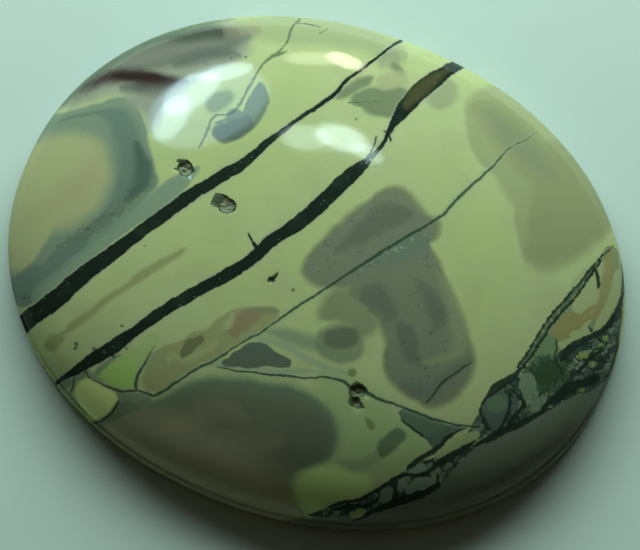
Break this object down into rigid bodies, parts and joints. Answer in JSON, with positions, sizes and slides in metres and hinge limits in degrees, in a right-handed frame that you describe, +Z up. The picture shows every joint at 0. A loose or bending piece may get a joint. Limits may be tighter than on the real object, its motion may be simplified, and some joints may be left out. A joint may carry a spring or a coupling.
{
  "type": "oval jasper cabochon",
  "caption": "Polished oval cabochon of veined porcelain jasper: low dome, upright girdle and a flat ground back to rest or be glued on.",
  "frame": {"origin": "middle of the flat back", "axes": "+Z up out of the dome, +X along the long axis of the oval, +Y along its short axis"},
  "size_m": [0.042, 0.035, 0.007],
  "materials": {
    "polished_jasper": "polished"
  },
  "bodies": {
    "root": {"cabochon": "polished_jasper"}
  },
  "joints": []
}
